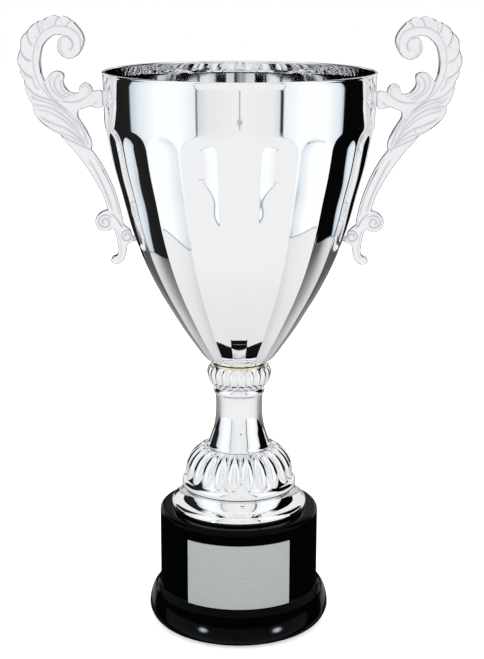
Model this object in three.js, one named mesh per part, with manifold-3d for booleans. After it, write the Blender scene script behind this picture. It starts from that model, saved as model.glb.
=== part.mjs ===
// A two-handled cup trophy: a fluted bowl on a gadrooned collar, a waisted stem, a gadrooned
// dome and a flange, held to a round weighted base by one rod. Millimetres, +Z up, front -Y.
import * as THREE from 'three';
import { mergeVertices } from 'three/addons/utils/BufferGeometryUtils.js';
import Module from 'manifold-3d';

const wasm = await Module();
wasm.setup();

// ---- driving dimensions ----
const GAP = 0.3;
const FLUTES = 22;
const FLUTE_DEPTH = 1.6;
const FLUTE_SPRING_Z = 265.5;
const FLUTE_TOP_Z = 274;
const LOBES = 22;
const DOME_TURN = 10.5;
const COLLAR_TURN = 5.3;
const HANDLE_THICKNESS = 8;
const HANDLE_BEVEL = 1.4;
const ROD_RADIUS = 2.9;
const ROD_HOLE = 3.3;
const PLATE_HALF_ANGLE = 37.4;
const PLATE_BOTTOM_Z = 21.4;
const PLATE_TOP_Z = 57.2;
const BASE_RADIUS = 43.2;
const BASE_TOP_Z = 64.8;

// ---- profiles, as [radius, height] ----
const BOWL_OUTSIDE = [
  [14.0, 146.25], [17.9, 149.8], [24.1, 158], [29.8, 166], [36.2, 176], [42.1, 186], [48.3, 198],
  [53.4, 210], [58.2, 224], [62.3, 239], [65.8, 252], [68.3, 264.5], [69.2, 270],
  [69.7, 274], [70.2, 286], [70.4, 299.6], [70.7, 300.1], [70.7, 300.6],
];
const BOWL_INSIDE = [
  [69.5, 300.6], [69.2, 286], [67.3, 271], [63.2, 252], [55.8, 226], [45.9, 200], [34.0, 177],
  [21.7, 158], [14.6, 149.3], [12.6, 147.3],
];
const SKIRT = [
  [43.9, 0.5], [46.2, 1.5], [48.0, 3.4], [49.3, 6.6], [49.3, 9.5], [48.6, 13], [47.4, 16.3],
  [45.4, 19.2], [BASE_RADIUS, 21.2],
];
const DOME_OUTSIDE = [
  [28.9, 81.6], [28.9, 85], [28.5, 89], [27.5, 92], [26.1, 94.2], [24.1, 96.2], [21.4, 97.7],
  [17.4, 98.6],
];
const COLLAR_OUTSIDE = [
  [12.2, 132.9], [14.3, 134.6], [16.3, 137.6], [17.05, 140.2], [16.6, 142.9], [14.9, 144.9],
];
const STEM_OUTSIDE = [
  [15.9, 98.9], [16.7, 99.3], [16.7, 100.2], [15.8, 100.8], [15.4, 102.6], [14.4, 106], [13.1, 110],
  [12.2, 116], [12.0, 122], [12.2, 128.6], [12.8, 129.4], [13.0, 130.7],
  [12.8, 131.9], [12.2, 132.6],
];
const FLANGE_OUTSIDE = [
  [31.0, 65.1], [33.6, 65.8], [35.4, 67.0], [36.3, 68.6], [36.2, 69.5], [34.6, 70.0],
  [32.5, 71.3], [31.1, 73.3], [30.3, 75.7],
];

// One handle seen from the front, on the left of the bowl, as [x, z].
const HANDLE_TOP = [
  [-67, 290.6], [-72.5, 290.6], [-75.4, 290.2], [-76.4, 292.3], [-79.4, 294.4], [-82.3, 292.6],
  [-83.2, 289.4], [-86.3, 289.2], [-89.0, 291.4], [-90.4, 294.3], [-90.2, 298.6], [-92.4, 300.0],
  [-96.2, 299.6], [-99.2, 296.4], [-101.2, 298.0], [-102.1, 304.7], [-101.0, 311.1],
  [-97.5, 316.2], [-92.8, 318.6], [-90.4, 317.4], [-92.5, 315.3], [-93.0, 312.2], [-91.3, 308.9],
  [-87.2, 306.5], [-82.6, 308.3], [-79.8, 312.4], [-79.4, 316.5], [-82.2, 321.8],
];
const HANDLE_LOBES = [
  [-85.6, 325.6], [-91.9, 326.4], [-98.9, 326.2], [-108.0, 319.8], [-111.6, 311.3],
  [-112.8, 303.2], [-110.4, 295.0], [-106.5, 282.9], [-100.0, 271.6], [-92.8, 267.7],
];
const HANDLE_ARM = [
  [-88.4, 262.3], [-82.5, 255.2], [-76.1, 245.5], [-71.5, 236.8], [-69.2, 228.2],
];
const HANDLE_FOOT = [
  [-72.6, 226.8], [-75.3, 222.3], [-73.6, 218.4], [-69.8, 217.2], [-66.3, 217.4], [-64.6, 212.5],
  [-63.8, 206.8], [-66.2, 203.6], [-67.5, 201.7], [-66.0, 199.8], [-63.0, 200.4], [-60.3, 203.7],
  [-59.2, 208.9], [-56.9, 211.0], [-52, 212.5], [-51, 217],
];
const HANDLE_INNER = [
  [-57.0, 218.9], [-60.2, 220.4], [-61.6, 226.0], [-64.8, 237.2], [-69.8, 248.8], [-74.3, 256.4],
  [-77.0, 260.0], [-76.6, 263.4], [-78.7, 269.0], [-82.1, 275.2], [-83.3, 278.4], [-80.6, 281.1],
  [-76.6, 282.1], [-72.8, 281.4], [-67, 283.0],
];

// ---- materials ----
function finish(color, roughness, metalness) {
  return new THREE.MeshStandardMaterial({ color, roughness, metalness });
}

// ---- solids ----
function radians(degrees) {
  return (degrees * Math.PI) / 180;
}

// A closed outline turned about Z: up the outside, then down the inside. The shift moves
// the outside points in or out by an amount that depends on the angle and the height.
function turned(outside, inside, segments, shift, turn = 0) {
  const points = [...outside, ...inside].map(([r, z]) => new THREE.Vector2(r, z));
  if (points[0].x > 0) {
    points.push(points[0].clone());
  }
  const geometry = new THREE.LatheGeometry(points, segments, radians(turn));
  const at = geometry.getAttribute('position');
  for (let i = 0; shift && i < at.count; i += 1) {
    const row = i % points.length;
    if (row < outside.length || row === points.length - 1) {
      const radius = Math.hypot(at.getX(i), at.getZ(i));
      const angle = Math.atan2(at.getX(i), at.getZ(i));
      const moved = radius + shift(angle, at.getY(i), radius);
      at.setX(i, moved * Math.sin(angle));
      at.setZ(i, moved * Math.cos(angle));
    }
  }
  return geometry.rotateX(Math.PI / 2);
}

// A round ring or washer.
function ring(inner, outer, low, high, segments) {
  return turned([[outer, low], [outer, high]], [[inner, high], [inner, low]], segments);
}

function disc(radius, low, high) {
  return turned([[0, low], [radius, low], [radius, high], [0, high]], [], 32);
}

// How far an angle lies from the middle of its repeat, from -1 at one edge to 1 at the other.
function across(angle, repeats) {
  const turns = (angle * repeats) / (2 * Math.PI);
  return 2 * (turns - Math.round(turns));
}

// Concave flutes that fade toward the foot and end in a scooped arch under the rim band.
function flute(angle, z, radius) {
  const end = Math.max(0, (z - FLUTE_SPRING_Z) / (FLUTE_TOP_Z - FLUTE_SPRING_Z));
  const hollow = Math.max(0, 1 - across(angle, FLUTES) ** 2 - end ** 2);
  return (-FLUTE_DEPTH * hollow * radius) / 70;
}

// Rounded lobes with narrow grooves between them, tapering to nothing at both ends.
function lobes(turn, depth, low, high) {
  return (angle, z) => {
    const along = Math.sin(Math.PI * Math.min(1, Math.max(0, (z - low) / (high - low))));
    const side = across(angle - radians(turn), LOBES);
    return -depth * Math.sqrt(along) * (1 - Math.sqrt(1 - 0.9 * side ** 2));
  };
}

function solid(geometry) {
  const bare = geometry.index ? geometry.toNonIndexed() : geometry.clone();
  bare.deleteAttribute('normal');
  bare.deleteAttribute('uv');
  const merged = mergeVertices(bare, 1e-3);
  return new wasm.Manifold(new wasm.Mesh({
    numProp: 3,
    vertProperties: merged.attributes.position.array,
    triVerts: new Uint32Array(merged.index.array),
  }));
}

function geometryOf(body) {
  const made = body.getMesh();
  const geometry = new THREE.BufferGeometry();
  geometry.setAttribute('position', new THREE.BufferAttribute(made.vertProperties, 3));
  geometry.setIndex(new THREE.BufferAttribute(made.triVerts, 1));
  return geometry;
}

// ---- handle screws: where each one crosses the bowl, and how far it dips ----
const SCREWS = [
  { name: 'upper', z: 286, dip: 0, wall: 69.2 },
  { name: 'lower', z: 214.6, dip: 20.6, wall: 51.4 },
];

// Puts a shape made along +Z, from the bowl's inside wall outward, in its place on one side.
function placeOnWall(geometry, screw, side) {
  geometry.rotateY(radians(90 + screw.dip));
  geometry.translate(screw.wall, 0, screw.z);
  if (side < 0) {
    geometry.rotateZ(Math.PI);
  }
  return geometry;
}

function screwHole(screw, side) {
  const hole = new THREE.CylinderGeometry(1.8, 1.8, 16, 16).rotateX(Math.PI / 2).translate(0, 0, 2.5);
  return placeOnWall(hole, screw, side);
}

function handleScrew(screw, side) {
  const profile = [
    [0, -3.9], [1.9, -3.6], [3.0, -2.9], [3.2, -1.6], [1.5, -1.6], [1.5, 9.2], [0, 9.7],
  ];
  return placeOnWall(turned(profile, [], 12), screw, side);
}

function screwWasher(screw, side) {
  return placeOnWall(ring(1.9, 4.0, -1.3, -0.6, 16), screw, side);
}

// ---- sub-parts ----
function bowl() {
  const inside = [...BOWL_INSIDE, [ROD_HOLE, 147.3], [ROD_HOLE, 146.25]];
  let body = solid(turned(BOWL_OUTSIDE, inside, FLUTES * 4, flute));
  for (const screw of SCREWS) {
    for (const side of [-1, 1]) {
      body = body.subtract(solid(screwHole(screw, side)));
    }
  }
  return geometryOf(body);
}

// The space the bowl takes up, grown by the gap, that each handle end is cut to.
function bowlSpace() {
  const profile = BOWL_OUTSIDE.filter(([, z]) => z > 180).map(([r, z]) => [r + GAP, z]);
  return solid(turned([[0, 186], ...profile, [0, 300.6]], [], FLUTES * 4));
}

function handle(side) {
  const shape = new THREE.Shape();
  shape.moveTo(...HANDLE_TOP[0]);
  shape.lineTo(...HANDLE_TOP[1]);
  shape.splineThru(HANDLE_TOP.slice(2).map((p) => new THREE.Vector2(...p)));
  let last = HANDLE_TOP.at(-1);
  for (const notch of HANDLE_LOBES) {
    addLobe(shape, last, notch);
    last = notch;
  }
  shape.splineThru(HANDLE_ARM.map((p) => new THREE.Vector2(...p)));
  shape.splineThru(HANDLE_FOOT.slice(0, -2).map((p) => new THREE.Vector2(...p)));
  shape.lineTo(...HANDLE_FOOT.at(-2));
  shape.lineTo(...HANDLE_FOOT.at(-1));
  shape.lineTo(...HANDLE_INNER[0]);
  shape.splineThru(HANDLE_INNER.slice(1, -1).map((p) => new THREE.Vector2(...p)));
  shape.lineTo(...HANDLE_INNER.at(-1));
  const outline = new THREE.Shape(thin(shape.getPoints(1)));
  const geometry = new THREE.ExtrudeGeometry(outline, {
    depth: HANDLE_THICKNESS - 2 * HANDLE_BEVEL,
    bevelEnabled: true,
    bevelThickness: HANDLE_BEVEL,
    bevelSize: 0.7,
    bevelOffset: -0.7,
    bevelSegments: 1,
    curveSegments: 1,
  });
  geometry.translate(0, 0, HANDLE_BEVEL - HANDLE_THICKNESS / 2);
  geometry.rotateX(Math.PI / 2);
  if (side > 0) {
    geometry.rotateZ(Math.PI);
  }
  let body = solid(geometry).subtract(bowlSpace());
  for (const screw of SCREWS) {
    body = body.subtract(solid(screwHole(screw, side)));
  }
  return geometryOf(body);
}

// One lobe of the leaf edge: a bulge outward between two notches.
function addLobe(shape, [x0, z0], [x1, z1]) {
  const length = Math.hypot(x1 - x0, z1 - z0);
  const outX = -(z0 - z1) / length;
  const outZ = (x0 - x1) / length;
  const bulge = 0.2 * length;
  for (const [along, out] of [[0.2, 0.62], [0.5, 1], [0.8, 0.62], [1, 0]]) {
    shape.lineTo(x0 + along * (x1 - x0) + out * bulge * outX,
      z0 + along * (z1 - z0) + out * bulge * outZ);
  }
}

// Drops outline points that lie closer together than a quarter of a millimetre.
function thin(points) {
  const kept = [points[0]];
  for (const point of points) {
    if (point.distanceTo(kept.at(-1)) > 0.25) {
      kept.push(point);
    }
  }
  return kept;
}

function collar() {
  return turned(COLLAR_OUTSIDE, [[9, 144.9], [9, 132.9]], LOBES * 4,
    lobes(COLLAR_TURN, 1.2, 132.9, 144.9), COLLAR_TURN);
}

function stem() {
  const inside = [[9.0, 132.6], [9.0, 131.4], [10.4, 128], [10.4, 118], [11.6, 110], [13.6, 103],
    [14.2, 98.9]];
  return turned(STEM_OUTSIDE, inside, 32);
}

function dome() {
  const lip = [[28.6, 76.0], [29.9, 76.1], [30.5, 77.2], [30.5, 79.5], [29.7, 80.9]];
  const inside = [[ROD_HOLE, 98.6], [ROD_HOLE, 97.0], [18, 95.5], [24.6, 90.0], [25.4, 76.0]];
  return turned([...lip, ...DOME_OUTSIDE], inside, LOBES * 4,
    lobes(DOME_TURN, 2.2, 81, 98.7), DOME_TURN);
}

function flange() {
  return turned(FLANGE_OUTSIDE, [[26, 75.7], [26, 67.5], [27.5, 65.1]], 48);
}

function baseShell() {
  const outside = [...SKIRT, [BASE_RADIUS, 61.6], [42.6, 63.7], [41.0, BASE_TOP_Z]];
  const inside = [[ROD_HOLE, BASE_TOP_Z], [ROD_HOLE, 62], [40.5, 62], [40.5, 5.0], [41.2, 5.0],
    [41.2, 0.5]];
  return turned(outside, inside, 48);
}

// A panel curved round the base between two radii and two heights.
function curvedPanel(inner, outer, low, high, halfAngle) {
  const start = radians(-90 - halfAngle);
  const end = radians(-90 + halfAngle);
  const shape = new THREE.Shape();
  shape.absarc(0, 0, outer, start, end, false);
  shape.absarc(0, 0, inner, end, start, true);
  return new THREE.ExtrudeGeometry(shape, {
    depth: high - low, bevelEnabled: false, curveSegments: 14,
  }).translate(0, 0, low);
}

function hexNut(acrossFlats, hole, low, high) {
  const shape = new THREE.Shape();
  const corner = acrossFlats / 2 / Math.cos(radians(30));
  for (let i = 0; i < 6; i += 1) {
    const x = corner * Math.cos(radians(60 * i));
    const y = corner * Math.sin(radians(60 * i));
    if (i === 0) {
      shape.moveTo(x, y);
    } else {
      shape.lineTo(x, y);
    }
  }
  shape.closePath();
  shape.holes.push(new THREE.Path().absarc(0, 0, hole, 0, 2 * Math.PI, true));
  return new THREE.ExtrudeGeometry(shape, {
    depth: high - low, bevelEnabled: false, curveSegments: 16,
  }).translate(0, 0, low);
}

// ---- the object ----
const silver = finish(0xdfe1e6, 0.12, 1.0);
const castSilver = finish(0xe6e6ea, 0.22, 1.0);
const black = finish(0x0b0c0f, 0.12, 0.0);
const steel = finish(0xb4b6ba, 0.35, 1.0);
const gold = finish(0xc9b46a, 0.28, 1.0);

const trophy = new THREE.Group();
trophy.name = 'cup_trophy';

function add(name, geometry, material) {
  const mesh = new THREE.Mesh(geometry, material.clone());
  mesh.name = name;
  trophy.add(mesh);
}

add('bowl', bowl(), silver);
add('handle_left', handle(-1), castSilver);
add('handle_right', handle(1), castSilver);
for (const screw of SCREWS) {
  for (const [word, side] of [['left', -1], ['right', 1]]) {
    add(`screw_${screw.name}_${word}`, handleScrew(screw, side), steel);
    add(`washer_${screw.name}_${word}`, screwWasher(screw, side), steel);
  }
}
add('seat_ring', ring(9, 14.95, 145.2, 145.95, 44), gold);
add('collar', collar(), silver);
add('stem', stem(), silver);
add('dome', dome(), silver);
add('flange', flange(), silver);
add('base_shell', baseShell(), black);
add('plate_adhesive', curvedPanel(BASE_RADIUS + 0.2, BASE_RADIUS + 0.5, PLATE_BOTTOM_Z + 0.8,
  PLATE_TOP_Z - 0.8, PLATE_HALF_ANGLE - 1), finish(0xe8e6df, 0.7, 0.0));
add('name_plate', curvedPanel(BASE_RADIUS + 0.7, BASE_RADIUS + 1.3, PLATE_BOTTOM_Z, PLATE_TOP_Z,
  PLATE_HALF_ANGLE), finish(0xb2babd, 0.38, 1.0));
add('base_weight', ring(3.5, 36, 49.7, 61.7, 32), finish(0x4a4a4c, 0.75, 0.7));
add('bottom_board', disc(40.9, 1.6, 4.7), finish(0x8a6b47, 0.8, 0.0));
add('felt_pad', disc(40.4, 0, 1.3), finish(0x1d3a2a, 0.95, 0.0));
add('tie_rod', new THREE.CylinderGeometry(ROD_RADIUS, ROD_RADIUS, 116.5, 20)
  .rotateX(Math.PI / 2).translate(0, 0, 98.25), steel);
add('top_washer', ring(ROD_HOLE, 11, 147.6, 149.0, 24), steel);
add('top_nut', hexNut(10, ROD_HOLE, 149.3, 154.2), steel);
add('bottom_washer', ring(ROD_HOLE, 10, 47.9, 49.4, 24), steel);
add('bottom_nut', hexNut(10, ROD_HOLE, 42.7, 47.6), steel);

export default trophy;
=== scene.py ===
"""A silver-coloured two-handled cup trophy on a round black base, built around its CAD frame.

Every piece is a surface worked out with numpy, in metres, with +Z up and the plate facing -Y.
"""

import math

import bpy
import numpy as np
from mathutils import Matrix, Vector


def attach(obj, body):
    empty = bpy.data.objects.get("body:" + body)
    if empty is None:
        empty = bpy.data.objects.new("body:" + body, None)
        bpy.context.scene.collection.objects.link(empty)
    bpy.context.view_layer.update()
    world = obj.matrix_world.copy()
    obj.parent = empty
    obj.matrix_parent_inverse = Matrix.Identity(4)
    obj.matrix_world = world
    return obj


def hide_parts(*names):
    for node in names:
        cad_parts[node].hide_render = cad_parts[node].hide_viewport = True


MM = 0.001
TAU = 2 * math.pi

# ---- the cup's own sizes, in millimetres ----
FLUTES = 22
FLUTE_DEPTH = 1.6
FLUTE_SPRING = 265.5
FLUTE_TOP = 274.0
INSIDE_SHARE = 0.45  # how much of a flute's depth shows on the inside wall
SHEET = 0.8
BOWL_FOOT = 146.05
LOBES = 22
DOME_TURN = math.radians(10.5)
COLLAR_TURN = math.radians(5.3)
ROD_HOLE = 3.3
BASE_RADIUS = 43.2
PLATE_HALF_ANGLE = math.radians(37.4)
HANDLE_HALF_THICKNESS = 3.95
BASE_TOP = 64.8
FLANGE_FOOT = 64.95
DOME_FOOT = 75.95
COLLAR_FOOT = 132.85

# ---- the studio table's half widths to the left and right, in metres, and how fast they narrow ----
TABLE_SIDES = (0.243, 0.285)
TABLE_TAPERS = (0.14, 0.33)
TABLE_LEVEL = 0.0655
TABLE_OPENING = 0.050

BOWL = [
    (14.9, 146.25), (19.1, 149.8), (25.1, 158), (30.6, 166), (36.7, 176), (42.6, 186), (48.7, 198),
    (53.7, 210), (58.4, 224), (62.3, 239), (65.8, 252), (68.3, 264.5), (69.2, 270), (69.7, 274),
    (70.1, 286), (70.3, 298.9),
]
SKIRT = [
    (43.9, 0.5), (46.2, 1.5), (48.0, 3.4), (49.3, 6.6), (49.3, 9.5), (48.6, 13), (47.4, 16.3),
    (45.4, 19.2), (43.6, 21.0), (BASE_RADIUS, 22.2),
]
DOME = [
    (29.3, 81.5), (28.0, 83.4), (26.8, 86.2), (25.8, 89.2), (24.4, 92.0), (22.4, 94.6),
    (20.0, 96.9), (17.2, 98.5),
]
COLLAR = [
    (12.2, 133.0), (13.7, 134.4), (15.2, 137.2), (15.9, 140.0), (15.8, 142.6), (14.8, 144.7),
]
STEM = [
    (16.6, 101.0), (15.9, 103.0), (14.9, 106), (13.8, 109.5), (13.1, 113), (12.6, 117.5),
    (12.5, 122), (12.6, 126), (12.8, 128.7),
]

# One handle seen from the front, on the left of the bowl, as (x, z) in millimetres.
HANDLE_TOP = [
    (-82.3, 292.6), (-83.2, 289.4), (-86.3, 289.2), (-89.0, 291.4), (-90.4, 294.3),
    (-90.0, 298.4), (-92.1, 300.0), (-94.6, 300.2), (-96.4, 299.5), (-98.2, 297.8), (-99.9, 295.1),
]
HOOK = [
    (-99.9, 295.1), (-101.1, 298.0), (-102.0, 304.7), (-101.0, 311.1), (-99.5, 314.2),
    (-97.3, 316.4), (-94.8, 318.1), (-92.0, 318.6), (-89.9, 318.0),
]
CURL = [
    (-89.9, 318.0), (-91.3, 317.0), (-92.5, 315.3), (-93.0, 312.6), (-92.4, 310.0), (-90.3, 307.6),
    (-87.2, 306.5), (-84.5, 307.1), (-82.2, 308.8), (-80.5, 311.4), (-79.3, 314.5),
    (-79.3, 317.4), (-80.6, 320.4), (-82.8, 323.3),
]
LEAF_EDGE = [
    [(-82.8, 323.3), (-84.3, 324.8), (-85.6, 325.6)],
    [(-85.6, 325.6), (-87.6, 327.0), (-89.8, 327.7), (-91.9, 327.2)],
    [(-91.9, 327.2), (-94.6, 328.1), (-97.0, 327.6), (-98.9, 326.6)],
    [(-98.9, 326.6), (-101.0, 325.8), (-102.8, 325.0)],
    [(-102.8, 325.0), (-105.4, 323.4), (-107.2, 321.6), (-108.2, 320.1)],
    [(-108.2, 320.1), (-110.3, 318.2), (-111.6, 315.4), (-111.9, 311.3)],
    [(-111.9, 311.3), (-113.2, 308.0), (-113.5, 305.0), (-112.7, 302.6)],
    [(-112.7, 302.6), (-112.4, 299.5), (-111.4, 297.0), (-110.4, 295.6)],
    [(-110.4, 295.6), (-110.5, 293.4), (-109.6, 289.2), (-108.3, 285.8), (-106.6, 283.3)],
    [(-106.6, 283.3), (-106.5, 281.0), (-105.2, 277.6), (-102.6, 274.3), (-99.3, 271.5),
     (-96.2, 269.3), (-92.8, 267.7)],
    [(-92.8, 267.7), (-90.4, 264.6), (-86.8, 260.6), (-82.5, 255.2), (-78.8, 249.8),
     (-76.1, 245.5), (-73.8, 241.4), (-71.5, 236.8), (-69.9, 232.4), (-68.9, 228.5)],
]
HANDLE_FOOT = [
    (-68.9, 228.5), (-72.6, 227.2), (-75.0, 224.8), (-75.6, 222.2), (-74.9, 219.6), (-73.0, 217.7),
    (-70.2, 217.0), (-67.8, 217.7), (-66.4, 218.9),
]
TAIL = [
    (-66.4, 218.9), (-65.2, 216.2), (-64.3, 212.2), (-63.8, 208.0), (-64.0, 205.4), (-65.2, 204.0),
    (-66.8, 203.4), (-67.7, 202.0), (-67.5, 200.8), (-66.2, 199.8), (-64.2, 199.6), (-61.9, 200.8),
    (-60.3, 203.2), (-59.6, 206.6), (-58.9, 209.8), (-57.4, 210.9),
]
HANDLE_INNER = [
    (-61.0, 220.4), (-61.7, 225.0), (-63.0, 231.0), (-64.9, 237.4), (-67.4, 243.8), (-70.3, 249.9),
    (-73.6, 255.4), (-76.9, 259.9),
]
LEAF_INNER = [
    (-76.9, 259.9), (-76.5, 262.2), (-76.9, 264.9), (-78.2, 268.1), (-80.0, 271.5), (-82.0, 274.6),
    (-83.2, 276.8), (-83.4, 278.9), (-82.4, 280.4), (-79.9, 281.3), (-77.0, 282.2), (-74.2, 281.5),
    (-72.0, 281.3), (-70.2, 282.6),
]
PAD_TOP = [(-70.3, 289.9), (-72.2, 290.6), (-74.3, 290.3), (-75.6, 289.8)]
BALL = [
    (-75.6, 289.8), (-75.9, 291.6), (-77.0, 293.3), (-79.2, 294.3), (-81.2, 293.8), (-82.3, 292.6),
]


# ---- curves and grids ----
def curve(points, count):
    """A smooth curve through the points (uniform Catmull-Rom), evenly spaced: a count by 2 array."""
    p = np.asarray(points, float)
    p = np.vstack([2 * p[0] - p[1], p, 2 * p[-1] - p[-2]])
    t = np.linspace(0, 1, 17)[:-1, None]
    a, b, c, d = p[:-3, None], p[1:-2, None], p[2:-1, None], p[3:, None]
    fine = 0.5 * (2 * b + (c - a) * t + (2 * a - 5 * b + 4 * c - d) * t**2
                  + (3 * b - a - 3 * c + d) * t**3)
    fine = np.vstack([fine.reshape(-1, 2), p[-2]])
    way = np.concatenate([[0], np.cumsum(np.hypot(*np.diff(fine, axis=0).T))])
    at = np.linspace(0, way[-1], count)
    return np.stack([np.interp(at, way, fine[:, 0]), np.interp(at, way, fine[:, 1])], 1)


def join(*runs):
    """Several runs of points as one, leaving out a first point that repeats the last one."""
    out = [np.asarray(runs[0], float)]
    for run in runs[1:]:
        run = np.asarray(run, float)
        same = np.hypot(*(run[0] - out[-1][-1])) < 1e-6
        out.append(run[1:] if same else run)
    return np.vstack(out)


def arc(centre, radius, start, end, count):
    """Points on a circle's arc, angles in degrees."""
    a = np.radians(np.linspace(start, end, count))
    return np.stack([centre[0] + radius * np.cos(a), centre[1] + radius * np.sin(a)], 1)


def normals(profile):
    """The outward normal at each point of a profile walked with the material on its left."""
    d = np.gradient(profile, axis=0)
    n = np.stack([d[:, 1], -d[:, 0]], 1)
    return n / np.maximum(np.hypot(*n.T), 1e-9)[:, None]


def pull(profile, distance):
    """A profile moved inward by a distance along its normals."""
    return profile - normals(profile) * distance


def mesh_object(name, points, faces, material):
    """A mesh object from an array of points in metres and a list of faces, in the scene."""
    mesh = bpy.data.meshes.new(name)
    mesh.from_pydata(np.asarray(points).tolist(), [], faces)
    mesh.materials.append(material)
    made = bpy.data.objects.new(name, mesh)
    bpy.context.scene.collection.objects.link(made)
    return made


def new_object(name, points, faces, material):
    """A smooth-shaded object from arrays of points in millimetres and of quads."""
    made = mesh_object(name, np.asarray(points) * MM, np.asarray(faces).tolist(), material)
    made.data.polygons.foreach_set("use_smooth", np.full(len(made.data.polygons), True))
    made.data.update()
    return made


def grid_faces(rows, columns, rows_close, columns_close):
    """Quads between the points of a grid, in row-major order."""
    i = np.arange(rows if rows_close else rows - 1)[:, None]
    j = np.arange(columns if columns_close else columns - 1)[None, :]
    up, over = (i + 1) % rows, (j + 1) % columns
    corners = [i * columns + j, i * columns + over, up * columns + over, up * columns + j]
    return np.stack([c + 0 * i + 0 * j for c in corners], -1).reshape(-1, 4)


def columns_for(repeats, per, turn):
    """Angles round the piece, crowded toward the edges of each repeat: the place across one
    repeat is sin(pi s / 2) for an even s from -1 to 1. Returns the angles and those places."""
    s = np.linspace(-1, 1, per, endpoint=False)
    place = np.sin(np.pi * s / 2)
    middle = np.arange(repeats)[:, None] * TAU / repeats
    angle = middle + place[None, :] * np.pi / repeats + turn
    return angle.ravel(), np.tile(place, repeats)


def turned(name, profile, material, columns=160, push=None, angles=None):
    """A closed profile of (radius, height) carried round Z: at angle a, a point lies at
    (r sin a, -r cos a, z). push holds, for each row and column, how far the point stands out
    along the profile's normal."""
    profile = np.asarray(profile, float)
    angle = np.linspace(0, TAU, columns, endpoint=False) if angles is None else angles
    n = normals(np.vstack([profile[-1:], profile, profile[:1]]))[1:-1]
    out = np.zeros((len(profile), len(angle))) if push is None else push
    radius = profile[:, 0, None] + n[:, 0, None] * out
    height = profile[:, 1, None] + n[:, 1, None] * out
    points = np.stack([radius * np.sin(angle), -radius * np.cos(angle), height + 0 * angle], -1)
    faces = grid_faces(len(profile), len(angle), True, True)
    return new_object(name, points.reshape(-1, 3), faces, material)


def stands_for(piece, slot, *nodes):
    """Rides the piece on the one body, and hides the CAD nodes that it stands for."""
    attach(piece, "root")
    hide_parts(*nodes)
    return piece


# ---- materials ----
class Socket:
    """A node's output, on which Python's operators add Math nodes."""

    def __init__(self, tree, output):
        self.tree = tree
        self.output = output

    def _math(self, operation, first, second=None):
        values = [first] if second is None else [first, second]
        return self.tree.node("ShaderNodeMath", {"operation": operation}, *values)

    def __add__(self, other):
        return self._math("ADD", self, other)

    def __radd__(self, other):
        return self._math("ADD", other, self)

    def __sub__(self, other):
        return self._math("SUBTRACT", self, other)

    def __rsub__(self, other):
        return self._math("SUBTRACT", other, self)

    def __mul__(self, other):
        return self._math("MULTIPLY", self, other)

    def __rmul__(self, other):
        return self._math("MULTIPLY", other, self)

    def __truediv__(self, other):
        return self._math("DIVIDE", self, other)

    def __rtruediv__(self, other):
        return self._math("DIVIDE", other, self)

    def __pow__(self, other):
        return self._math("POWER", self, other)

    def __abs__(self):
        return self._math("ABSOLUTE", self)

    def at_least(self, other):
        return self._math("MAXIMUM", self, other)


class Finish:
    """One material's node tree. node() adds any node: its settings first, then its inputs."""

    def __init__(self, name):
        self.material = bpy.data.materials.new(name)
        self.material.use_nodes = True
        self.nodes = self.material.node_tree.nodes
        self.links = self.material.node_tree.links
        self.nodes.clear()
        self.end = self.nodes.new("ShaderNodeOutputMaterial")

    def node(self, kind, settings=None, *inputs, output=0, **named):
        made = self.nodes.new(kind)
        for key, value in (settings or {}).items():
            if key == "stops":
                self._stops(made, value)
            else:
                setattr(made, key, value)
        for key, value in list(enumerate(inputs)) + list(named.items()):
            self._put(made.inputs[key.replace("_", " ") if isinstance(key, str) else key], value)
        return Socket(self, made.outputs[output])

    def _stops(self, made, stops):
        elements = made.color_ramp.elements
        while len(elements) < len(stops):
            elements.new(0.5)
        for element, (place, shade) in zip(elements, stops):
            element.position = place
            element.color = shade if len(shade) == 4 else (*shade, 1)

    def _put(self, socket, value):
        if isinstance(value, Socket):
            self.links.new(value.output, socket)
        elif value is not None:
            socket.default_value = value

    def place(self, scale=(1, 1, 1), turn=(0, 0, 0)):
        """Object coordinates, in metres, scaled and turned."""
        at = self.node("ShaderNodeTexCoord", output=3)
        return self.node("ShaderNodeMapping", {"vector_type": "POINT"}, at, (0, 0, 0), turn, scale)

    def noise(self, at, scale, detail=3.0, rough=0.55, distort=0.0):
        return self.node("ShaderNodeTexNoise", None, Vector=at, Scale=scale, Detail=detail,
                         Roughness=rough, Distortion=distort)

    def between(self, value, low, high, to_low, to_high):
        """A value carried from one range to another, and kept inside the second."""
        return self.node("ShaderNodeMapRange", {"clamp": True}, value, low, high, to_low, to_high)

    def blend(self, factor, first, second):
        """Two colours mixed by a factor."""
        made = self.nodes.new("ShaderNodeMix")
        made.data_type = "RGBA"
        for index, value in ((0, factor), (6, first), (7, second)):
            if isinstance(value, tuple) and len(value) == 3:
                value = (*value, 1)
            self._put(made.inputs[index], value)
        return Socket(self, made.outputs[2])

    def bump(self, height, strength, distance):
        return self.node("ShaderNodeBump", None, Strength=strength, Distance=distance,
                         Height=height)

    def shade(self, **values):
        """Ends the material in one Principled shader."""
        made = self.nodes.new("ShaderNodeBsdfPrincipled")
        for key, value in values.items():
            if isinstance(value, tuple) and len(value) == 3:
                value = (*value, 1)
            self._put(made.inputs[key.replace("_", " ")], value)
        self.links.new(made.outputs[0], self.end.inputs[0])
        return self.material

    def scratches(self, at, scale, width, turn):
        """Fine straight hairlines: the thin dark joints of stretched cells."""
        lines = self.node("ShaderNodeMapping", {"vector_type": "POINT"}, at, (0, 0, 0), turn,
                          (1.0, 0.035, 0.6))
        cell = self.node("ShaderNodeTexVoronoi", {"feature": "DISTANCE_TO_EDGE"}, Vector=lines,
                         Scale=scale)
        return self.between(cell, 0.0, width, 1.0, 0.0)


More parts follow.
